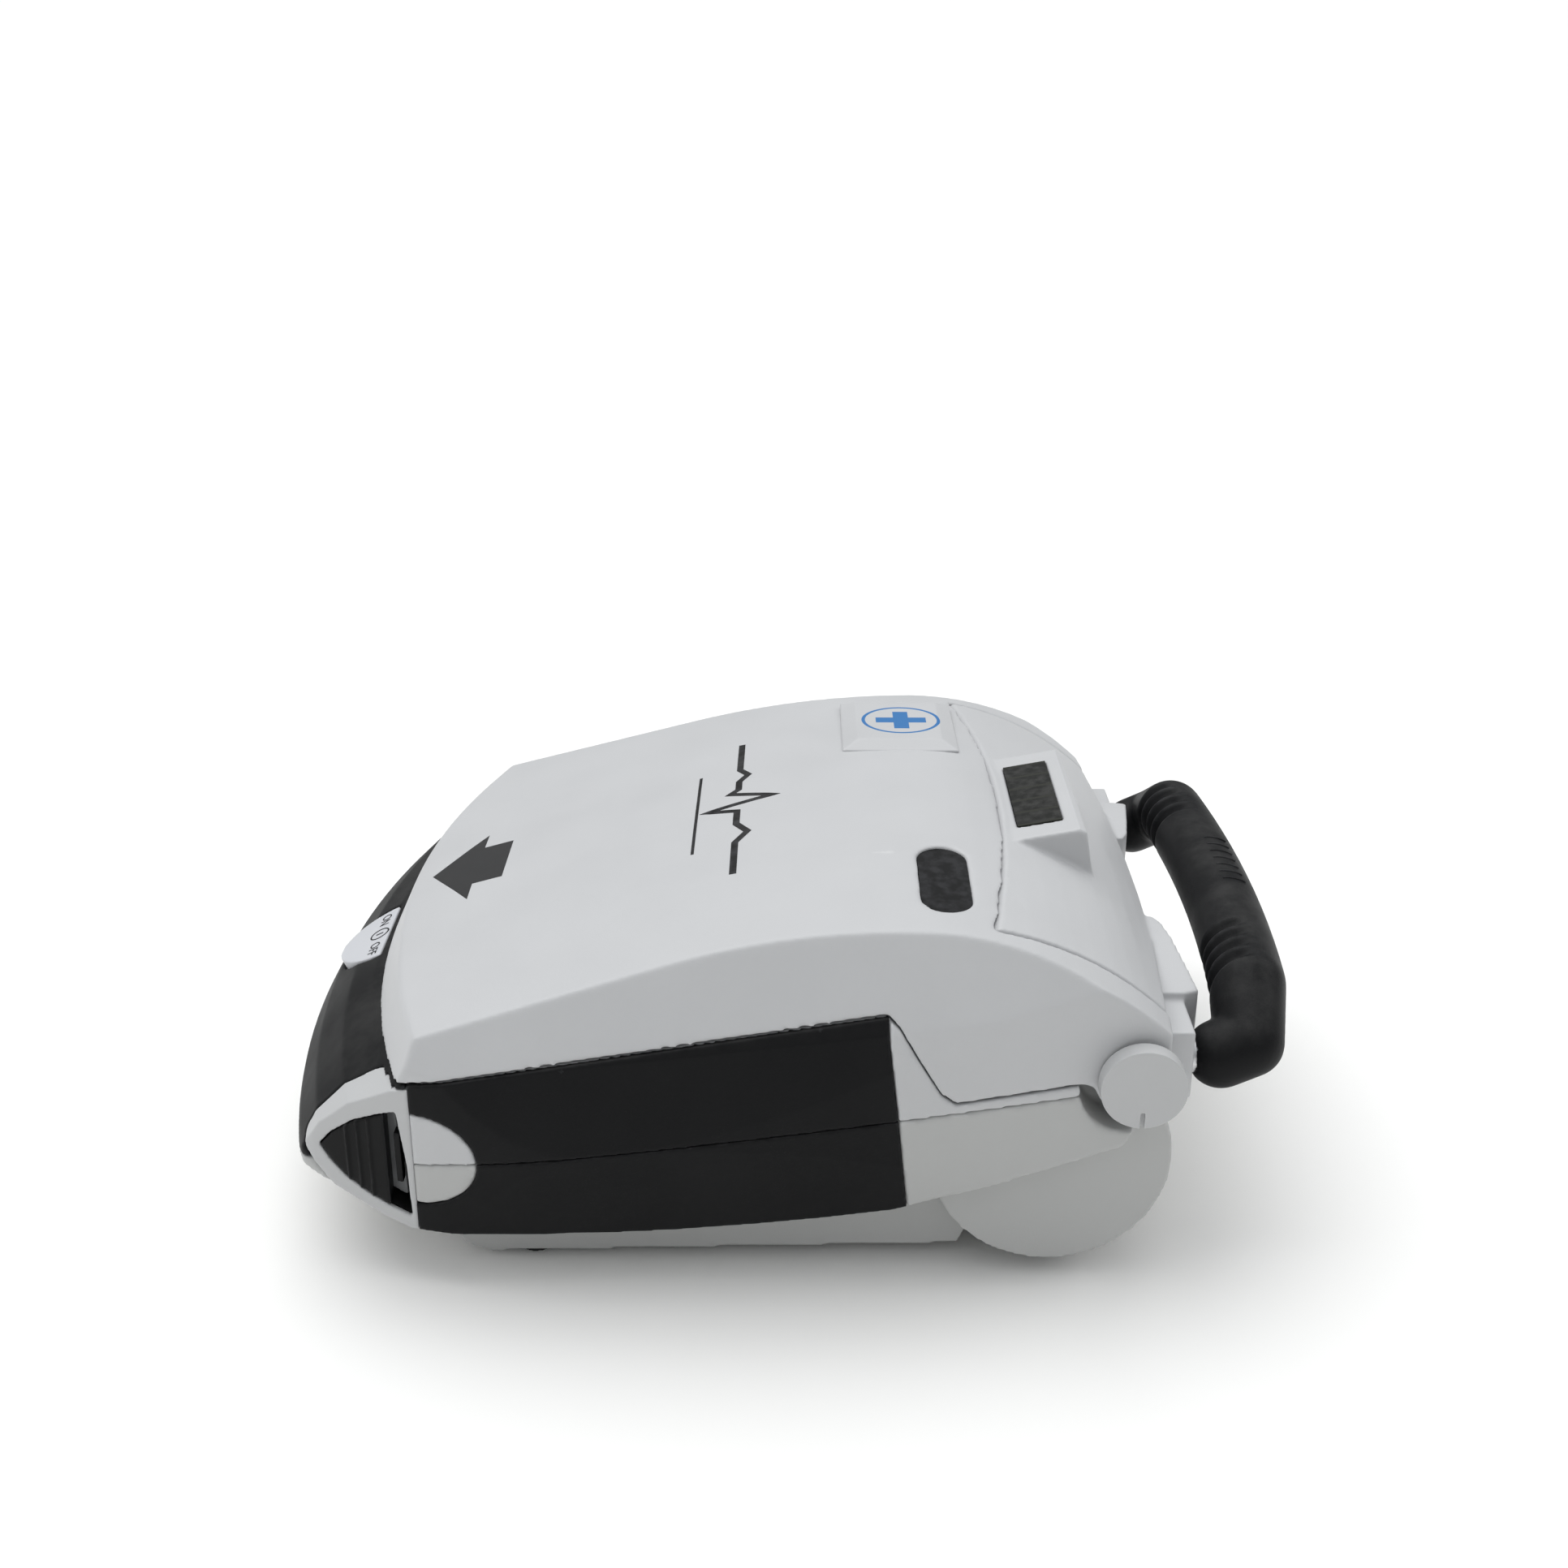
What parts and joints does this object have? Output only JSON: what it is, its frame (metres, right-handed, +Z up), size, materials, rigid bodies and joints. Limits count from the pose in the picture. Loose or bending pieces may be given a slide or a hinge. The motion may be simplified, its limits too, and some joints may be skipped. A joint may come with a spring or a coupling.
{
  "type": "automated external defibrillator",
  "caption": "Portable automated external defibrillator with hinged lid, release button, display, charger cartridge and rear carrying handle",
  "frame": {"origin": "centre of the bounding box's bottom face, on the table under the device", "axes": "+X to the user's right, +Y towards the carrying handle, +Z up; the nose with the release button points to -Y"},
  "size_m": [0.203, 0.282, 0.1075],
  "materials": {
    "shell_grey": "fine moulded texture",
    "trim_grey": "fine moulded texture",
    "button_grey": "satin",
    "liner_white": "satin",
    "panel_black": "soft-touch coating",
    "cap_black": "satin",
    "handle_rubber": "fine moulded rubber",
    "foot_rubber": "moulded rubber",
    "seal_rubber": "extruded rubber",
    "smoked_window": "clear smoked plastic",
    "infrared_lens": "dark red filter",
    "lcd_glass": "display glass",
    "packet_foil": "foil laminate",
    "shock_orange": "glossy",
    "cartridge_grey": "satin",
    "contact_brass": "plated",
    "screw_steel": "plain",
    "board_green": "solder mask",
    "chip_black": "moulded",
    "transformer_tape": "tape wound",
    "winding_copper": "enamelled wire",
    "relay_blue": "moulded",
    "sink_aluminium": "extruded",
    "capacitor_blue": "sleeved can",
    "cell_blue": "shrink sleeve"
  },
  "bodies": {
    "base": {"lower_case": "shell_grey", "upper_case": "shell_grey", "case_gasket": "seal_rubber", "case_screws": "screw_steel", "rubber_feet": "foot_rubber", "front_bumper": "panel_black", "side_panel_upper_right": "panel_black", "side_panel_upper_left": "panel_black", "side_panel_lower_right": "panel_black", "side_panel_lower_left": "panel_black", "corner_trim_right": "trim_grey", "corner_trim_left": "trim_grey", "data_port_cap": "cap_black", "infrared_window": "infrared_lens", "display_module": "lcd_glass", "display_window": "lcd_glass", "handle_core": "screw_steel", "handle_grip": "handle_rubber", "handle_screws": "screw_steel", "hinge_pin_right": "screw_steel", "hinge_pin_left": "screw_steel", "deck_seal": "seal_rubber", "electrode_packet": "packet_foil", "electrode_socket": "trim_grey", "speaker_grille": "cap_black", "speaker": "cap_black", "shock_bezel": "trim_grey", "shock_spring": "screw_steel", "button_spring": "screw_steel", "cartridge_bay": "cap_black", "bay_contacts": "contact_brass", "main_board": "board_green", "board_screws": "screw_steel", "processor_chips": "chip_black", "transformer": "transformer_tape", "inductor": "winding_copper", "relay": "relay_blue", "heat_sink": "sink_aluminium", "hv_capacitor": "capacitor_blue", "capacitor_clip": "screw_steel", "internal_battery": "cell_blue", "battery_tray": "cap_black"},
    "lid": {"lid_shell": "shell_grey", "lid_liner": "liner_white", "lid_window": "smoked_window", "lid_badge": "shell_grey", "latch_hook": "screw_steel", "hinge_cap_right": "trim_grey", "hinge_cap_left": "trim_grey"},
    "release_button": {"release_button": "button_grey", "button_catch": "cap_black"},
    "shock_button": {"shock_button": "shock_orange"},
    "cartridge": {"charger_cartridge": "cartridge_grey", "cartridge_cap": "cap_black"},
    "latch": {"cartridge_latch": "cap_black"}
  },
  "joints": [
    {"name": "lid_hinge", "type": "hinge", "parent": "base", "child": "lid", "pos_m": [0, 0.0933, 0.0646], "axis": [-1, 0, 0], "range_deg": [0, 86]},
    {"name": "release_press", "type": "slide", "parent": "base", "child": "release_button", "axis": [0, 0.4384, -0.8988], "range_m": [0, 0.003], "stiffness_N_per_m": 800, "deforming": ["button_spring"]},
    {"name": "shock_press", "type": "slide", "parent": "base", "child": "shock_button", "axis": [0, 0.1642, -0.9864], "range_m": [0, 0.0025], "stiffness_N_per_m": 800, "deforming": ["shock_spring"]},
    {"name": "cartridge_slide", "type": "slide", "parent": "base", "child": "cartridge", "axis": [1, 0, 0], "range_m": [0, 0.062]},
    {"name": "latch_slide", "type": "slide", "parent": "cartridge", "child": "latch", "axis": [0, -1, 0], "range_m": [0, 0.0012], "stiffness_N_per_m": 400}
  ]
}
